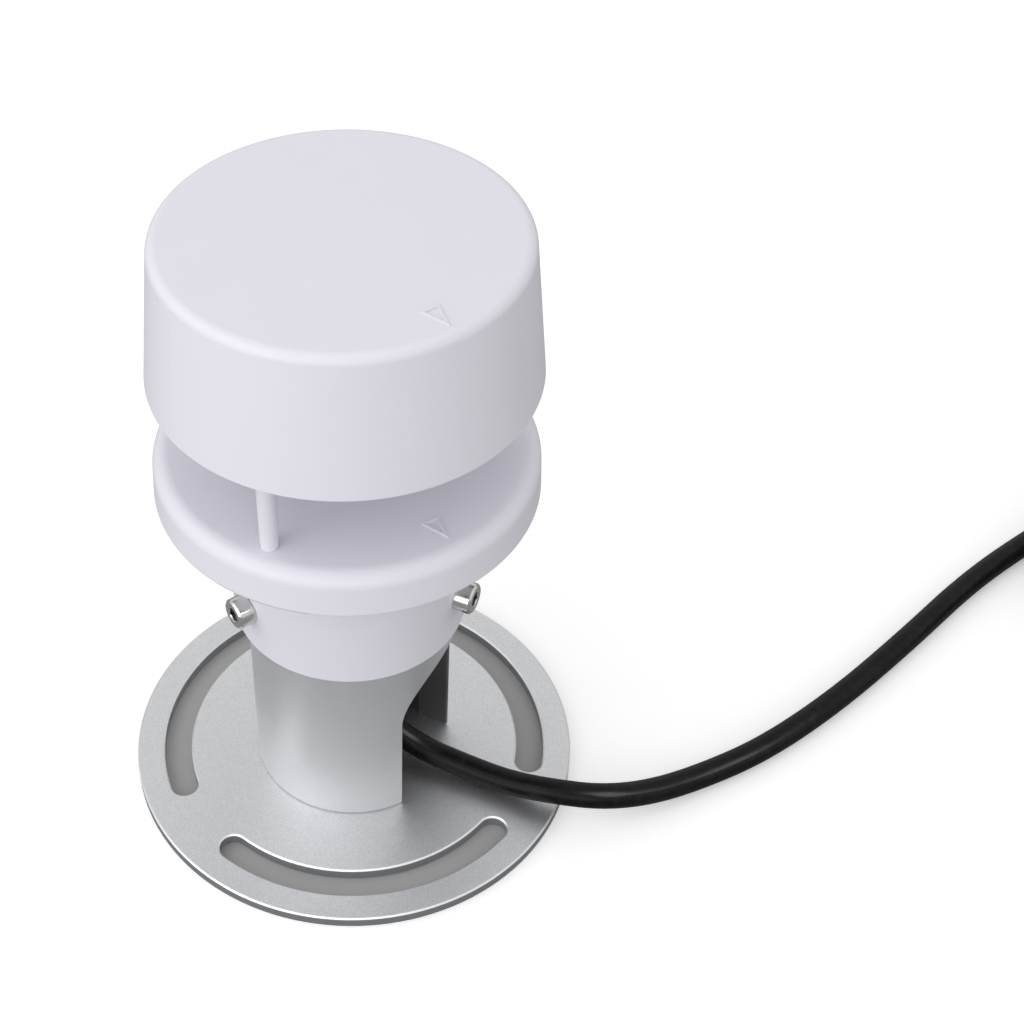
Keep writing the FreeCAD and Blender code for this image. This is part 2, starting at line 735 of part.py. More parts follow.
def pan_screws(label, azimuths, circle, seat, tip, shank, head, tall, downwards):
    """Cross-recessed screws whose heads bear on the seat height, pointing up or down."""
    screws = []
    for azimuth in azimuths:
        outer = f"{seat} + {tall}" if downwards else f"{seat} - {tall}"
        low, high = (seat, outer) if downwards else (outer, seat)
        low_end, high_end = (tip, seat) if downwards else (seat, tip)
        body = fuse(
            cylinder(head, low, high, circle, azimuth),
            cylinder(shank, low_end, high_end, circle, azimuth),
        )
        slot_low = f"{outer} - 0.5" if downwards else outer
        slot_high = outer if downwards else f"{outer} + 0.5"
        recess = fuse(
            block(f"1.2 * {head}", "0.4", slot_low, slot_high, circle, azimuth),
            block("0.4", f"1.2 * {head}", slot_low, slot_high, circle, azimuth),
        )
        screws.append(cut(body, recess))
    return piece(label, group(screws))


def transducers():
    """Four ultrasonic transducers, each in a rubber boot, looking down and inwards at the deck."""
    boots = []
    for number, azimuth in enumerate(TRANSDUCERS, 1):
        can = transducer_cylinder("transducer_radius", "0", "transducer_length", azimuth)
        piece(f"transducer_{number}", can)
        outside = transducer_cylinder("boot_radius", "0.6", "8.4", azimuth)
        bore = transducer_cylinder("transducer_radius", "0.6", "8.4", azimuth)
        boots.append(cut(outside, bore))
    piece("transducer_boots", group(boots))


def transducer_leads():
    """A thin lead from the back of each transducer up to the main board."""
    back = size("transducer_circle") + size("transducer_length") * math.cos(math.radians(45))
    rear = size("transducer_height") + size("transducer_length") * math.sin(math.radians(45))
    board = size("main_board_bottom")
    profile = [(back, rear), (back + 2, rear + 2), (back + 1.6, rear + 5), (25.2, board - 3), (25.2, board)]
    leads = []
    for azimuth in TRANSDUCERS:
        item = doc.addObject("Part::Feature", "lead")
        item.Shape = tube_along("transducer lead", around(azimuth, profile), 0.5)
        leads.append(item)
    piece("transducer_leads", group(leads))


def main_board():
    """The round circuit board in the cap, with its parts on top."""
    top = "main_board_bottom + board_thickness"
    disc = cylinder("main_board_radius", "main_board_bottom", top)
    holes = [cylinder("1.1", "main_board_bottom", top, "main_screw_circle", azimuth) for azimuth in QUARTERS]
    piece("main_board", cut(disc, *holes))
    piece("control_chip", block("10", "10", top, f"{top} + 1.4"))
    coils = [block("6", "6", top, f"{top} + 4.6", "18", azimuth) for azimuth in TRANSDUCERS]
    piece("coupling_coils", group(coils))
    stores = [cylinder("2", top, f"{top} + 5.2", "12", azimuth) for azimuth in (20, 160)]
    piece("storage_capacitors", group(stores))
    piece("cap_plug", block("5", "9", top, f"{top} + 4", "15", WIRE_POST))


def harness():
    """The wire between the two boards, which runs down inside the hollow post."""
    reach = size("post_circle")
    low = size("wire_height")
    profile = [
        (17.5, 145.4), (23, 145.5), (28.4, 144.6), (31, 139.6), (31.3, 134),
        (33.6, 129.8), (reach, 126.4), (reach, 97.6), (reach, low), (reach - 3.4, low),
        (14, low), (11, low + 0.4), (11, low - 1.6),
    ]
    cord("harness", around(WIRE_POST, profile), "harness_radius")


# ---------------------------------------------------------------- closure, interface board and gland

def closure():
    """The plate that shuts the neck's chamber, its gasket and its flush screws."""
    screw_ring = "closure_screw_circle"
    disc = cylinder("closure_radius", "closure_bottom", "closure_top")
    holes = [cylinder("gland_thread + 0.1", "closure_bottom", "closure_top")]
    screws = []
    for azimuth in POSTS:
        holes.append(cone("2.5", "1.3", "closure_bottom", "closure_bottom + 1.2", screw_ring, azimuth))
        holes.append(cylinder("1.3", "closure_bottom + 1.2", "closure_top", screw_ring, azimuth))
        head = cone("2.4", "1.2", "closure_bottom + 0.1", "closure_bottom + 1.3", screw_ring, azimuth)
        shank = cylinder("1.2", "closure_bottom + 1.3", "ledge_height + 6", screw_ring, azimuth)
        screws.append(fuse(head, shank))
    for azimuth in COLUMNS:
        holes.append(cylinder("column_hole", "closure_top - 1.8", "closure_top", "standoff_circle", azimuth))
    piece("closure_plate", cut(disc, *holes))
    piece("closure_screws", group(screws))
    gasket = ring("closure_radius - 0.1", "chamber_radius + 0.1", "closure_top", "ledge_height")
    piece("closure_gasket", gasket)


def interface_board():
    """The small board in the neck, on three brass standoffs, where the cable's cores end."""
    top = "interface_bottom + board_thickness"
    disc = cylinder("interface_radius", "interface_bottom", top)
    holes = []
    standoffs = []
    for azimuth in POSTS:
        holes.append(cylinder("post_boss_radius", "interface_bottom", top, "closure_screw_circle", azimuth))
    for azimuth in COLUMNS:
        holes.append(cylinder("column_hole", "interface_bottom", top, "standoff_circle", azimuth))
        pillar = hexagon("4.5", "closure_top", "interface_bottom", "standoff_circle", azimuth)
        stud = cylinder("column_hole", "closure_top - 1.8", "closure_top", "standoff_circle", azimuth)
        bore = cylinder("column_tap", "interface_bottom - 5", "interface_bottom", "standoff_circle", azimuth)
        standoffs.append(cut(fuse(pillar, stud), bore))
    piece("interface_board", cut(disc, *holes))
    piece("board_standoffs", group(standoffs))
    piece("neck_plug", block("5", "8", top, f"{top} + 3", "11", WIRE_POST))
    piece("interface_chip", block("5", "6.5", top, f"{top} + 1.6"))
    parts = [block("3", "5", top, f"{top} + 2.2", "9", azimuth) for azimuth in (30, 150)]
    piece("surge_suppressors", group(parts))


def cable_gland():
    """The gland that holds the cable in the closure plate."""
    bore = "cable_radius + 0.3"
    nut_bottom = "gland_bottom + 3"
    seat = "closure_bottom - 4"
    body = fuse(
        hexagon("gland_flats", seat, "closure_bottom"),
        cylinder("gland_thread", "closure_bottom", "closure_top + 3"),
        cylinder("gland_thread + 0.5", "gland_bottom + 4.5", seat),
    )
    passage = cylinder(bore, "gland_bottom + 4", "closure_top + 4")
    pocket = cylinder("5.2", "gland_bottom + 4", f"{seat} - 1")
    piece("gland_body", cut(body, fuse(passage, pocket)))
    dome = fuse(
        cone("5.4", "7.4", "gland_bottom", nut_bottom),
        hexagon("gland_flats", nut_bottom, f"{seat} - 0.2"),
    )
    thread = cylinder("gland_thread + 0.55", "gland_bottom + 3.5", f"{seat} + 1")
    mouth = cylinder("cable_radius + 0.4", "gland_bottom - 1", "gland_bottom + 4")
    piece("gland_nut", cut(dome, fuse(thread, mouth)))
    piece("gland_seal", ring("5.15", "cable_radius + 0.08", "gland_bottom + 3.8", f"{seat} - 1.1"))
    nut = hexagon("gland_flats", "closure_top", "closure_top + 2.8")
    piece("gland_locknut", cut(nut, cylinder("gland_thread + 0.05", "closure_top - 1", "closure_top + 4")))


def cable_leads():
    """The four cores above the cable's end, spread out to the interface board."""
    board = size("interface_bottom")
    leads = []
    for azimuth in TRANSDUCERS:
        item = doc.addObject("Part::Feature", "core_end")
        profile = [(1.3, 84.2), (1.3, 85.1), (3.3, 86.7), (3.3, board)]
        item.Shape = tube_along("cable lead", around(azimuth, profile), 0.55)
        leads.append(item)
    piece("cable_leads", group(leads))


# ---------------------------------------------------------------- cable

# From inside the gland down the tube, out through the window, over the flange and along the surface.
CABLE_ROUTE = [
    (0, 0, 84),
    (0, 0, 60),
    (0.5, -0.9, 37),
    (-0.4, 0.7, 24.6),
    (-3.3, 5.7, 14.2),
    (-8.6, 13.9, 7.8),
    (-15.0, 24.6, 6.2),
    (-20.8, 35.1, 6.3),
    (-26.0, 44.0, 8.9),
    (-34.2, 51.6, 8.6),
    (-46.0, 55.4, 5.5),
    (-60.5, 57.6, 3.2),
    (-79.0, 60.0, 3.1),
    (-104.0, 58.8, 3.0),
    (-133.0, 54.6, 3.1),
    (-162.0, 49.2, 3.0),
    (-190.0, 47.8, 3.1),
    (-204.0, 48.1, 3.0),
]


# The last stretch lies on the coil: (azimuth, distance, height) round the coil's own axis.
CABLE_TAIL = [
    (223.9, 25.9, 18.0),
    (195.9, 28.3, 20.6),
    (170.6, 31.1, 21.4),
    (149.8, 33.2, 21.4),
    (131.8, 33.3, 21.4),
    (113.7, 31.6, 21.4),
    (94.9, 28.05, 21.4),
]


def coil_point(azimuth, reach, height):
    """A point round the coil's own axis."""
    angle = math.radians(azimuth)
    return (size("coil_x") + reach * math.cos(angle), size("coil_y") + reach * math.sin(angle), height)


def cable():
    """The cable in three solids: the laid length, the coil that puts the rest away, and the tail."""
    cord("cable", CABLE_ROUTE, "cable_radius")
    coil = turned("coil_body", [
        ("coil_inner", 0),
        ("coil_outer", 0),
        ("coil_outer", "coil_top"),
        ("coil_inner", "coil_top"),
    ])
    place(coil, "coil_x", "coil_y", 0)
    piece("cable_coil", coil)
    points = [coil_point(*turn) for turn in CABLE_TAIL]
    cord("cable_tail", points, "cable_radius")
    return points


def cable_end(tail):
    """The stripped end, on top of the coil: a shrink sleeve, four insulated cores and their ferrules."""
    end = FreeCAD.Vector(*tail[-1])
    heading = (end - FreeCAD.Vector(*tail[-2])).normalize()
    aside = FreeCAD.Vector(0, 0, 1).cross(heading)
    sleeve_radius = size("cable_radius") + 0.4
    sleeve_length = 12
    sleeve = doc.addObject("Part::Feature", "sleeve")
    sleeve.Shape = Part.makeCylinder(sleeve_radius, sleeve_length, end, heading)
    piece("cable_end_sleeve", sleeve)
    start = end + heading * sleeve_length
    # The cores fan out and sink onto the coil: (distance along, gap between cores, share sunk).
    fan = ((0, 1.7, 0), (4, 1.7, 0), (8.5, 2.6, 0.5), (13, 3.6, 1), (17.5, 4.2, 1))
    sink = FreeCAD.Vector(0, 0, size("coil_top") + size("core_radius") - end.z)
    ferrule_radius = 0.6
    ferrule_length = 5
    ferrules = []
    for number, colour in enumerate(("red", "black", "yellow", "green")):
        side = number - 1.5
        points = []
        for along, gap, share in fan:
            points.append(start + heading * along + aside * (side * gap) + sink * share)
        cord(f"core_{colour}", [tuple(point) for point in points], "core_radius")
        ferrule = doc.addObject("Part::Feature", "ferrule")
        direction = (points[-1] - points[-2]).normalize()
        ferrule.Shape = Part.makeCylinder(ferrule_radius, ferrule_length, points[-1], direction)
        ferrules.append(ferrule)
    piece("core_ferrules", group(ferrules))


# ---------------------------------------------------------------- assembly

flange_plate()
mounting_tube()
flange_screws()
cable_end(cable())
neck_gasket()
lower_housing()
clamp_inserts()
clamp_screws()
cap_base()
pan_screws(
    "post_screws", POSTS[:2], "post_circle", "post_boss_bottom",
    "post_foot + 8", "0.9", "1.9", "1.6", False,
)
top_cap()
piece("cap_gasket", ring("base_radius - 0.1", "cap_gasket_bore", "base_top", "cap_ledge"))
pan_screws(
    "cap_screws", COLUMNS, "column_circle", "base_bottom",
    "base_top + 10", "1.2", "2.3", "1.5", False,
)
transducers()
transducer_leads()
main_board()
pan_screws(
    "main_board_screws", QUARTERS, "main_screw_circle", "main_board_bottom + board_thickness",
    "main_board_bottom - 6", "0.9", "1.8", "1.3", True,
)
harness()
closure()
interface_board()
pan_screws(
    "interface_board_screws", COLUMNS, "standoff_circle", "interface_bottom + board_thickness",
    "interface_bottom - 4", "1.2", "2.1", "1.5", True,
)
cable_gland()
cable_leads()
doc.recompute()

for item in doc.Objects:
    if "Invalid" in item.State or "Error" in item.State:
        raise RuntimeError(f"{item.Name} ({item.Label}) did not compute")
for item in pieces:
    if item.Shape.isNull() or not item.Shape.isValid() or not item.Shape.Solids:
        raise RuntimeError(f"{item.Label} has no valid solid")
for item in pieces:
    item.Shape.exportStep(f"parts/{item.Label}.step")
print(len(pieces), "sub-parts written")
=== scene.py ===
import math

import bpy
from mathutils import Matrix, Vector


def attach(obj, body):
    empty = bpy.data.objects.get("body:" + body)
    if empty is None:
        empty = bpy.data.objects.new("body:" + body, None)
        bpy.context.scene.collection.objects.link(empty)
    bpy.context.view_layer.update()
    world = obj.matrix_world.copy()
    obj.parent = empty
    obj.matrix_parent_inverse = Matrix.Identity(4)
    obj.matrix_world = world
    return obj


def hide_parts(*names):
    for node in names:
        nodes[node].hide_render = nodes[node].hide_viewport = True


# Compact ultrasonic wind sensor on a studio table: materials on the CAD pieces, the cable as a spline, the
# floor, the lights and the camera. Numbers are millimetres unless a comment says metres; MM makes metres.

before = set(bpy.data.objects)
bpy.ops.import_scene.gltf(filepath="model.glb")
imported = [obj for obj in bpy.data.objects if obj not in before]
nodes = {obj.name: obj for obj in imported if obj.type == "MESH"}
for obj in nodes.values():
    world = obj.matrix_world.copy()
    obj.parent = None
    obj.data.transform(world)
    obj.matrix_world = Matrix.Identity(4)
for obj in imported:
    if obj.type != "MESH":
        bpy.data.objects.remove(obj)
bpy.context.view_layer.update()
scene = bpy.context.scene
scene.view_settings.view_transform = "Standard"

MM = 0.001
TUBE_RADIUS = 23.2
FLANGE_RADIUS = 52.5

# ---------------------------------------------------------------- camera

CAMERA_PLACE = Vector((159.6, 244.8, 360.7)) * MM
HEADING = math.radians(146.82)   # of the view, from +Y
PITCH = math.radians(43.95)      # below the horizon
ROLL = math.radians(1.38)
LENS = 66.13
SHIFT = 0.1582


def make_camera():
    data = bpy.data.cameras.new("camera")
    data.sensor_width = 36
    data.lens = LENS
    data.shift_x = SHIFT
    data.clip_start = 0.01
    data.clip_end = 20
    camera = bpy.data.objects.new("camera", data)
    turn = Matrix.Rotation(HEADING, 4, "Z")
    tilt = Matrix.Rotation(math.pi / 2 - PITCH, 4, "X")
    roll = Matrix.Rotation(-ROLL, 4, "Z")
    camera.matrix_world = Matrix.Translation(CAMERA_PLACE) @ turn @ tilt @ roll
    scene.collection.objects.link(camera)
    scene.camera = camera


make_camera()

# ---------------------------------------------------------------- cable

CABLE_RADIUS = 3.0
CABLE_ROUTE = [
    (0, 0, 84),
    (0, 0, 60),
    (0.5, -0.9, 37),
    (-0.4, 0.7, 24.6),
    (-3.3, 5.7, 14.2),
    (-8.6, 13.9, 7.8),
    (-15.0, 24.6, 6.2),
    (-20.8, 35.1, 6.3),
    (-26.0, 44.0, 8.9),
    (-34.2, 51.6, 8.6),
    (-46.0, 55.4, 5.5),
    (-60.5, 57.6, 3.2),
    (-79.0, 60.0, 3.1),
    (-104.0, 58.8, 3.0),
    (-133.0, 54.6, 3.1),
    (-162.0, 49.2, 3.0),
    (-190.0, 47.8, 3.1),
    (-204.0, 48.1, 3.0),
]
COIL_CENTRE = (-216.0, 87.0)
COIL_ENTRY = 270                 # azimuth where the cable joins the coil, which winds clockwise
POINTS_PER_TURN = 16
# Three layers, wound inwards, outwards and inwards: (turns, distance from the coil's axis, height).
WINDING = [
    (0, 39, 3),
    (2.5, 23.9, 3),
    (3, 21, 9),
    (3.75, 27.3, 9),
    (5.3, 38.8, 9),
    (5.8, 39, 15),
    (8, 23.6, 15),
]
# The last stretch lies on the coil: (azimuth, distance, height).
TAIL = [
    (223.9, 25.9, 18.0),
    (195.9, 28.3, 20.6),
    (170.6, 31.1, 21.4),
    (149.8, 33.2, 21.4),
    (131.8, 33.3, 21.4),
    (113.7, 31.6, 21.4),
    (94.9, 28.05, 21.4),
]


def coil_point(azimuth, reach, height):
    angle = math.radians(azimuth)
    return (COIL_CENTRE[0] + reach * math.cos(angle), COIL_CENTRE[1] + reach * math.sin(angle), height)


def coil_points():
    """The winding's line, with a point every few degrees."""
    points = []
    for (turns, reach, height), (next_turns, next_reach, next_height) in zip(WINDING, WINDING[1:]):
        for step in range(round(turns * POINTS_PER_TURN), round(next_turns * POINTS_PER_TURN)):
            now = step / POINTS_PER_TURN
            share = (now - turns) / (next_turns - turns)
            place = (reach + share * (next_reach - reach), height + share * (next_height - height))
            points.append(coil_point(COIL_ENTRY - 360 * now, *place))
    points.append(coil_point(COIL_ENTRY - 360 * WINDING[-1][0], *WINDING[-1][1:]))
    return points


def curve_piece(name, points, radius):
    """A round cord along one smooth spline; the control points hold its radius."""
    data = bpy.data.curves.new(name, "CURVE")
    data.dimensions = "3D"
    data.bevel_depth = 1
    data.bevel_resolution = 6
    data.resolution_u = 8
    data.use_fill_caps = True
    spline = data.splines.new("NURBS")
    spline.points.add(len(points) - 1)
    for point, place in zip(spline.points, points):
        point.co = (*(Vector(place) * MM), 1)
        point.radius = radius * MM
    spline.order_u = 3
    spline.use_endpoint_u = True
    piece = bpy.data.objects.new(name, data)
    scene.collection.objects.link(piece)
    return piece


cable_points = CABLE_ROUTE[:-1] + coil_points() + [coil_point(*place) for place in TAIL]
cable = curve_piece("sensor_cable", cable_points, CABLE_RADIUS)
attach(cable, "mount")
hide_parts("cable", "cable_coil", "cable_tail")

# ---------------------------------------------------------------- material tools


class Nodes:
    """A material whose nodes are added and joined with short calls."""

    def __init__(self, name):
        self.material = bpy.data.materials.new(name)
        self.material.use_nodes = True
        self.tree = self.material.node_tree
        self.shader = self.tree.nodes["Principled BSDF"]
        self.place = self.add("ShaderNodeTexCoord").outputs["Object"]

    def add(self, kind, **settings):
        """A new node with these properties."""
        node = self.tree.nodes.new(kind)
        for key, value in settings.items():
            setattr(node, key, value)
        return node

    def join(self, source, target):
        """A link between two sockets."""
        self.tree.links.new(source, target)

    def stretch(self, scale):
        """Object coordinates, in metres, times a scale of one number or three."""
        node = self.add("ShaderNodeMapping")
        node.inputs["Scale"].default_value = scale if hasattr(scale, "__len__") else (scale,) * 3
        self.join(self.place, node.inputs["Vector"])
        return node.outputs["Vector"]

    def noise(self, size, detail=2.0, roughness=0.5, scale=(1, 1, 1)):
        """Noise whose blotches are about this many millimetres across."""
        node = self.add("ShaderNodeTexNoise")
        node.inputs["Scale"].default_value = 1
        node.inputs["Detail"].default_value = detail
        node.inputs["Roughness"].default_value = roughness
        self.join(self.stretch([part / (size * MM) for part in scale]), node.inputs["Vector"])
        return node.outputs["Fac"]

    def grains(self, size, feature="F1", output="Distance"):
        """Cells of about this many millimetres."""
        node = self.add("ShaderNodeTexVoronoi", feature=feature)
        node.inputs["Scale"].default_value = 1
        self.join(self.stretch(1 / (size * MM)), node.inputs["Vector"])
        return node.outputs[output]

    def spread(self, source, low, high, low_in=0.3, high_in=0.7):
        """Maps a factor to numbers between low and high."""
        node = self.add("ShaderNodeMapRange")
        for key, value in (("From Min", low_in), ("From Max", high_in), ("To Min", low), ("To Max", high)):
            node.inputs[key].default_value = value
        self.join(source, node.inputs["Value"])
        return node.outputs["Result"]

    def colours(self, source, low, high, low_in=0.3, high_in=0.7):
        """A ramp between two colours."""
        node = self.add("ShaderNodeValToRGB")
        first, last = node.color_ramp.elements
        first.position, last.position = low_in, high_in
        first.color, last.color = (*low, 1), (*high, 1)
        self.join(source, node.inputs["Fac"])
        return node.outputs["Color"]

    def facing(self, axis):
        """How far the surface faces along an axis, either way: from 0 for side walls to 1."""
        split = self.add("ShaderNodeSeparateXYZ")
        self.join(self.tree.nodes["Texture Coordinate"].outputs["Normal"], split.inputs["Vector"])
        return self.maths(split.outputs[axis], 0, "ABSOLUTE")

    def from_axis(self):
        """Distance from the upright axis through the origin, in metres."""
        flat = self.add("ShaderNodeVectorMath", operation="MULTIPLY")
        flat.inputs[1].default_value = (1, 1, 0)
        self.join(self.place, flat.inputs[0])
        node = self.add("ShaderNodeVectorMath", operation="LENGTH")
        self.join(flat.outputs["Vector"], node.inputs[0])
        return node.outputs["Value"]

    def maths(self, first, second, operation="ADD"):
        """One sum, product or other result of two sources, each a socket or a number."""
        node = self.add("ShaderNodeMath", operation=operation)
        for index, source in enumerate((first, second)):
            if hasattr(source, "is_linked"):
                self.join(source, node.inputs[index])
            else:
                node.inputs[index].default_value = source
        return node.outputs["Value"]

    def mix(self, factor, first, second):
        """Colour between two colours, each a socket or three numbers."""
        node = self.add("ShaderNodeMix", data_type="RGBA")
        self.join(factor, node.inputs["Factor"])
        for index, source in ((6, first), (7, second)):
            if hasattr(source, "is_linked"):
                self.join(source, node.inputs[index])
            else:
                node.inputs[index].default_value = (*source, 1)
        return node.outputs[2]

    def bump(self, height, depth, strength=1.0, over=None):
        """Relief of this depth in millimetres, on top of an earlier relief if given."""
        node = self.add("ShaderNodeBump")
        node.inputs["Distance"].default_value = depth * MM
        node.inputs["Strength"].default_value = strength
        self.join(height, node.inputs["Height"])
        if over:
            self.join(over, node.inputs["Normal"])
        return node.outputs["Normal"]

    def set(self, **inputs):
        """Sets or joins the shader's inputs: underscores in a name stand for spaces."""
        for key, value in inputs.items():
            socket = self.shader.inputs[key.replace("_", " ")]
            if hasattr(value, "is_linked"):
                self.join(value, socket)
            else:
                socket.default_value = (*value, 1) if key.endswith("Color") else value
        return self.material


# ---------------------------------------------------------------- materials

def moulded_abs(name, colour, rough=0.36):
    """White moulded plastic with a fine spark-eroded skin, faint flow mottling and a soft sheen."""
    m = Nodes(name)
    mottle = m.noise(14, 3)
    darker = [part * 0.99 for part in colour]
    skin = m.noise(0.22, 2, 0.6)
    wave = m.noise(9, 1)
    relief = m.bump(wave, 0.04, 0.2)
    return m.set(
        Base_Color=m.colours(mottle, darker, colour),
        Roughness=m.spread(m.noise(1.1, 3), rough - 0.05, rough + 0.06),
        Normal=m.bump(skin, 0.012, 0.5, relief),
        IOR=1.53,
        Specular_IOR_Level=0.31,
    )


def blasted_aluminium(name):
    """Bead-blasted, clear anodised aluminium: fine sparkle, a painted highlight on the chamfers, and duller
    turned walls painted darker as shade.
    """
    m = Nodes(name)
    sparkle = m.grains(0.22, output="Color")
    patch = m.noise(22, 3)
    beads = m.noise(0.16, 2, 0.7)
    shade = m.colours(sparkle, (0.66, 0.665, 0.68), (0.80, 0.81, 0.825), 0.1, 0.9)
    toned = m.mix(m.spread(patch, 0, 0.15), shade, (0.64, 0.645, 0.66))
    level = m.facing("Z")
    wall = m.spread(level, 1, 0, 0.3, 0.6)
    tilted = m.spread(level, 0, 1, 0.3, 0.6)
    not_flat = m.spread(level, 1, 0, 0.8, 0.97)
    # painted highlight: the tilted chamfers are coloured near white
    chamfer_highlight = m.maths(tilted, not_flat, "MULTIPLY")
    # painted shade: the upright walls are coloured darker
    walls = m.mix(wall, toned, (0.40, 0.41, 0.43))
    return m.set(
        Base_Color=m.mix(chamfer_highlight, walls, (0.92, 0.93, 0.94)),
        Metallic=1.0,
        Roughness=m.maths(m.spread(beads, 0.34, 0.52), m.spread(wall, 0, 0.18, 0, 1)),
        Normal=m.bump(beads, 0.05, 0.8),
    )


def turned_aluminium(name, colour):
    """Finely turned metal: rings run round the upright axis."""
    m = Nodes(name)
    rings = m.noise(0.30, 4, 0.7, (0.004, 0.004, 1))
    bands = m.noise(3.5, 2, 0.5, (0.01, 0.01, 1))
    fine = m.noise(0.2, 2)
    brighter = [min(part * 1.08, 1) for part in colour]
    duller = [part * 0.95 for part in colour]
    return m.set(
        Base_Color=m.colours(m.maths(rings, bands, "MULTIPLY"), duller, brighter, 0.12, 0.42),
        Metallic=1.0,
        Roughness=m.spread(fine, 0.30, 0.42),
        Normal=m.bump(rings, 0.02, 0.5),
    )


def satin_aluminium(name, colour, bore_shade_colour, bore_edge):
    """Clear anodised tube, finely blasted outside; its bore, inside bore_edge millimetres, is painted dark
    as shade.
    """
    m = Nodes(name)
    beads = m.noise(0.18, 2, 0.6)
    cloud = m.noise(18, 3)
    duller = [part * 0.97 for part in colour]
    # painted shade: the bore inside bore_edge gets the darker colour, standing in for the shade in the tube
    painted_bore_shade = m.spread(m.from_axis(), 1, 0, (bore_edge - 0.5) * MM, bore_edge * MM)
    return m.set(
        Base_Color=m.mix(painted_bore_shade, m.colours(cloud, duller, colour), bore_shade_colour),
        Metallic=1.0,
        Roughness=m.spread(beads, 0.40, 0.52),
        Normal=m.bump(beads, 0.02, 0.5),
    )


def polished_steel(name, colour=(0.70, 0.69, 0.67)):
    """Stainless screws: polished, with faint die marks."""
    m = Nodes(name)
    marks = m.noise(0.5, 3, 0.6)
    darker = [part * 0.86 for part in colour]
    return m.set(
        Base_Color=m.colours(m.noise(1.6, 2), darker, colour),
        Metallic=1.0,
        Roughness=m.spread(marks, 0.10, 0.22),
        Normal=m.bump(marks, 0.01, 0.5),
    )


def soft_plastic(name, colour, rough=0.42, size=0.5, depth=0.02):
    """Moulded or extruded plastic or rubber, with a faint mottle and a fine skin."""
    m = Nodes(name)
    lighter = [min(part * 1.18 + 0.004, 1) for part in colour]
    skin = m.noise(size, 3, 0.6)
    return m.set(
        Base_Color=m.colours(m.noise(5, 2), colour, lighter),
        Roughness=m.spread(skin, rough - 0.07, rough + 0.08),
        Normal=m.bump(skin, depth, 0.5),
    )


def cable_jacket(name):
    """Black cable sheath with the cores just showing as a slow lay under a satin skin."""
    m = Nodes(name)
    skin = m.noise(0.35, 3, 0.6)
    lay = m.noise(7, 2)
    scuffs = m.noise(2.2, 4, 0.7)
    return m.set(
        Base_Color=m.colours(scuffs, (0.0035, 0.0035, 0.004), (0.008, 0.008, 0.009), 0.45, 0.8),
        Roughness=m.spread(scuffs, 0.21, 0.31),
        Specular_IOR_Level=0.13,
        Normal=m.bump(skin, 0.015, 0.5, m.bump(lay, 0.08, 0.3)),
        IOR=1.5,
    )


def circuit_board(name):
    """Green solder mask with the tracks standing a little proud under it."""
    m = Nodes(name)
    tracks = m.grains(2.4, "DISTANCE_TO_EDGE")
    line = m.spread(tracks, 1, 0, 0.06, 0.10)
    return m.set(
        Base_Color=m.mix(line, (0.012, 0.10, 0.04), (0.03, 0.20, 0.08)),
        Roughness=m.spread(m.noise(0.8, 2), 0.22, 0.34),
        Normal=m.bump(line, 0.03, 0.6),
    )


def dress(material, *names):
    """Gives CAD nodes this material."""
    for name in names:
        slots = nodes[name].data.materials
        slots.clear()
        slots.append(material)


abs_white = moulded_abs("abs_white", (0.772, 0.766, 0.836))
steel = polished_steel("stainless")
rubber = soft_plastic("gasket_rubber", (0.02, 0.02, 0.022), 0.6)
black_nylon = soft_plastic("gland_nylon", (0.022, 0.022, 0.024), 0.38)
pale_nylon = soft_plastic("plug_nylon", (0.72, 0.69, 0.60), 0.4)
epoxy = soft_plastic("chip_black", (0.018, 0.018, 0.02), 0.5, 0.15)
grey_wire = soft_plastic("grey_wire", (0.16, 0.16, 0.17), 0.4)
aluminium = turned_aluminium("transducer_can", (0.68, 0.69, 0.70))
board_green = circuit_board("circuit_board")
brass = polished_steel("brass", (0.78, 0.56, 0.26))

cable.data.materials.append(cable_jacket("cable_jacket"))
dress(abs_white, "lower_housing", "cap_base", "top_cap", "closure_plate")
dress(blasted_aluminium("flange_aluminium"), "flange_plate")
# the bore's dark colour is painted shade
tube_satin = satin_aluminium(
    "tube_aluminium", colour=(0.79, 0.80, 0.82), bore_shade_colour=(0.36, 0.36, 0.37), bore_edge=TUBE_RADIUS - 0.1,
)
dress(tube_satin, "mounting_tube")
dress(steel, "flange_screws", "clamp_screws", "post_screws", "cap_screws", "main_board_screws")
dress(steel, "closure_screws", "interface_board_screws")
dress(brass, "clamp_inserts", "board_standoffs")
dress(rubber, "neck_gasket", "cap_gasket", "transducer_boots", "closure_gasket", "gland_seal")
dress(black_nylon, "gland_body", "gland_nut", "gland_locknut")
dress(aluminium, "transducer_1", "transducer_2", "transducer_3", "transducer_4", "storage_capacitors")
dress(board_green, "main_board", "interface_board")
dress(epoxy, "control_chip", "coupling_coils", "interface_chip", "surge_suppressors")
dress(pale_nylon, "cap_plug", "neck_plug")
dress(grey_wire, "harness", "transducer_leads")
dress(soft_plastic("shrink_sleeve", (0.02, 0.02, 0.02), 0.5), "cable_end_sleeve")
dress(polished_steel("ferrule_tin", (0.72, 0.72, 0.70)), "core_ferrules")
CORE_COLOURS = {
    "core_red": (0.42, 0.02, 0.015),
    "core_black": (0.015, 0.015, 0.016),
    "core_yellow": (0.72, 0.50, 0.03),
    "core_green": (0.02, 0.22, 0.06),
}
for node, colour in CORE_COLOURS.items():
    dress(soft_plastic(node, colour, 0.34), node)
dress(soft_plastic("cable_leads", CORE_COLOURS["core_yellow"], 0.34), "cable_leads")

# ---------------------------------------------------------------- floor and light


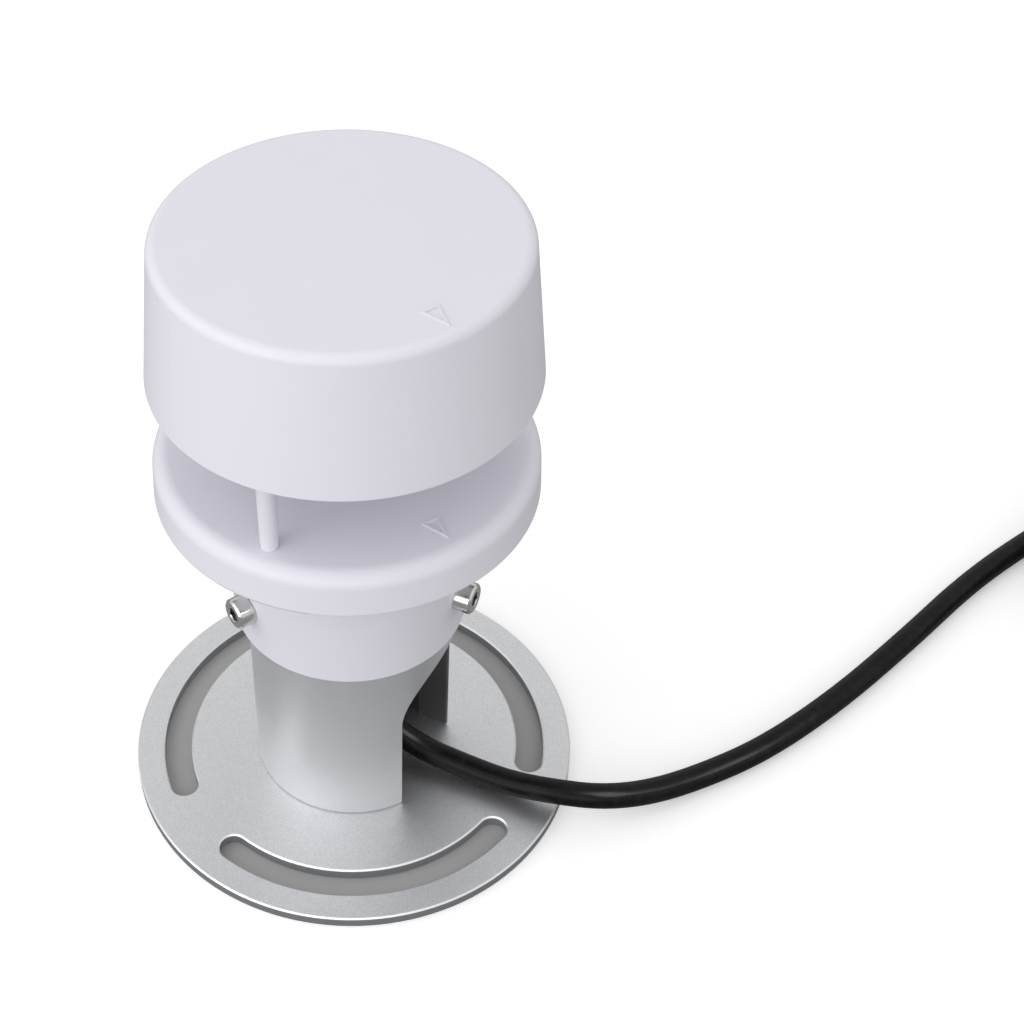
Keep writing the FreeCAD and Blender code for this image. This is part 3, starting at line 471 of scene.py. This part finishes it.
def ring_mesh(name, inner, outer, height):
    """A flat ring round the origin; an inner radius of nothing makes a plain disc."""
    sides = 96
    angles = [2 * math.pi * side / sides for side in range(sides)]
    corners = [(math.cos(angle) * MM, math.sin(angle) * MM) for angle in angles]
    points = [(outer * x, outer * y, height * MM) for x, y in corners]
    faces = []
    if inner:
        points += [(inner * x, inner * y, height * MM) for x, y in corners]
        for side in range(sides):
            following = (side + 1) % sides
            faces.append((side, following, sides + following, sides + side))
    else:
        faces.append(tuple(range(sides)))
    mesh = bpy.data.meshes.new(name)
    mesh.from_pydata(points, [], faces)
    return mesh


def make_floor():
    """A pale studio table. Its top shows up to the flange; the slots show the greyer sheet under it, which
    is painted shade for the slots and also lights the sensor from below."""
    reach = 3000
    under_flange = FLANGE_RADIUS - 1
    for name, inner, height, tone, glow in (
        # painted shade: the grey sheet is what the slots show
        ("shade_and_bounce_sheet", 0, -0.2, 0.40, 0),
        ("table_top", under_flange, 0, 0.93, 0.25),
    ):
        mesh = ring_mesh(name, inner, reach, height)
        sheet = bpy.data.objects.new(name, mesh)
        scene.collection.objects.link(sheet)
        m = Nodes(name)
        shade = m.colours(m.noise(300, 2), [tone * 0.99] * 3, [tone] * 3)
        mesh.materials.append(m.set(
            Base_Color=shade, Roughness=0.9, Emission_Color=(1, 1, 1), Emission_Strength=glow,
        ))
        if glow:
            # the bright top is for the camera only, so that the sheet below lights the sensor
            sheet.visible_diffuse = False
            sheet.visible_glossy = False
            sheet.visible_transmission = False


def area_light(name, place, target, width, power, only=()):
    """A square softbox that faces a point, in metres; it can be kept to some objects."""
    data = bpy.data.lights.new(name, "AREA")
    data.shape = "SQUARE"
    data.size = width
    data.energy = power
    light = bpy.data.objects.new(name, data)
    aim = (Vector(target) - Vector(place)).to_track_quat("-Z", "Y")
    light.matrix_world = Matrix.Translation(place) @ aim.to_matrix().to_4x4()
    light.visible_camera = False
    scene.collection.objects.link(light)
    if only:
        receivers = bpy.data.collections.new(name)
        for item in only:
            receivers.objects.link(item)
        light.light_linking.receiver_collection = receivers


SENSOR_MIDDLE = (0, 0, 0.08)     # metres


def make_light():
    """An even white studio, with softboxes to the left of the camera and below its height."""
    world = bpy.data.worlds.new("studio")
    world.use_nodes = True
    background = world.node_tree.nodes["Background"]
    background.inputs["Color"].default_value = (1, 1, 1, 1)
    background.inputs["Strength"].default_value = 0.80
    scene.world = world
    # as the camera sees it, level with the table
    left = Vector((0.84, -0.55, 0))
    front = Vector((0.55, 0.84, 0))
    # distances, widths and powers in metres and watts
    for name, aside, ahead, height, width, power in (
        ("side_softbox", 0.85, 0.15, 0.75, 0.8, 1.7),
        ("key_softbox", 0.6, 0.65, 0.75, 0.8, 0.9),
        ("low_key_softbox", 0.75, 0.75, 0.3, 0.7, 2.3),
        ("low_front_softbox", 0, 1.05, 0.3, 0.7, 1.5),
    ):
        place = left * aside + front * ahead + Vector((0, 0, height))
        area_light(name, place, SENSOR_MIDDLE, width, power)
    glossy = (cable, nodes["clamp_screws"])
    cable_bend = (-0.05, 0.06, 0)
    area_light("glint", (-0.19, 0.46, 0.56), cable_bend, 0.42, 4.5, glossy)


make_floor()
make_light()
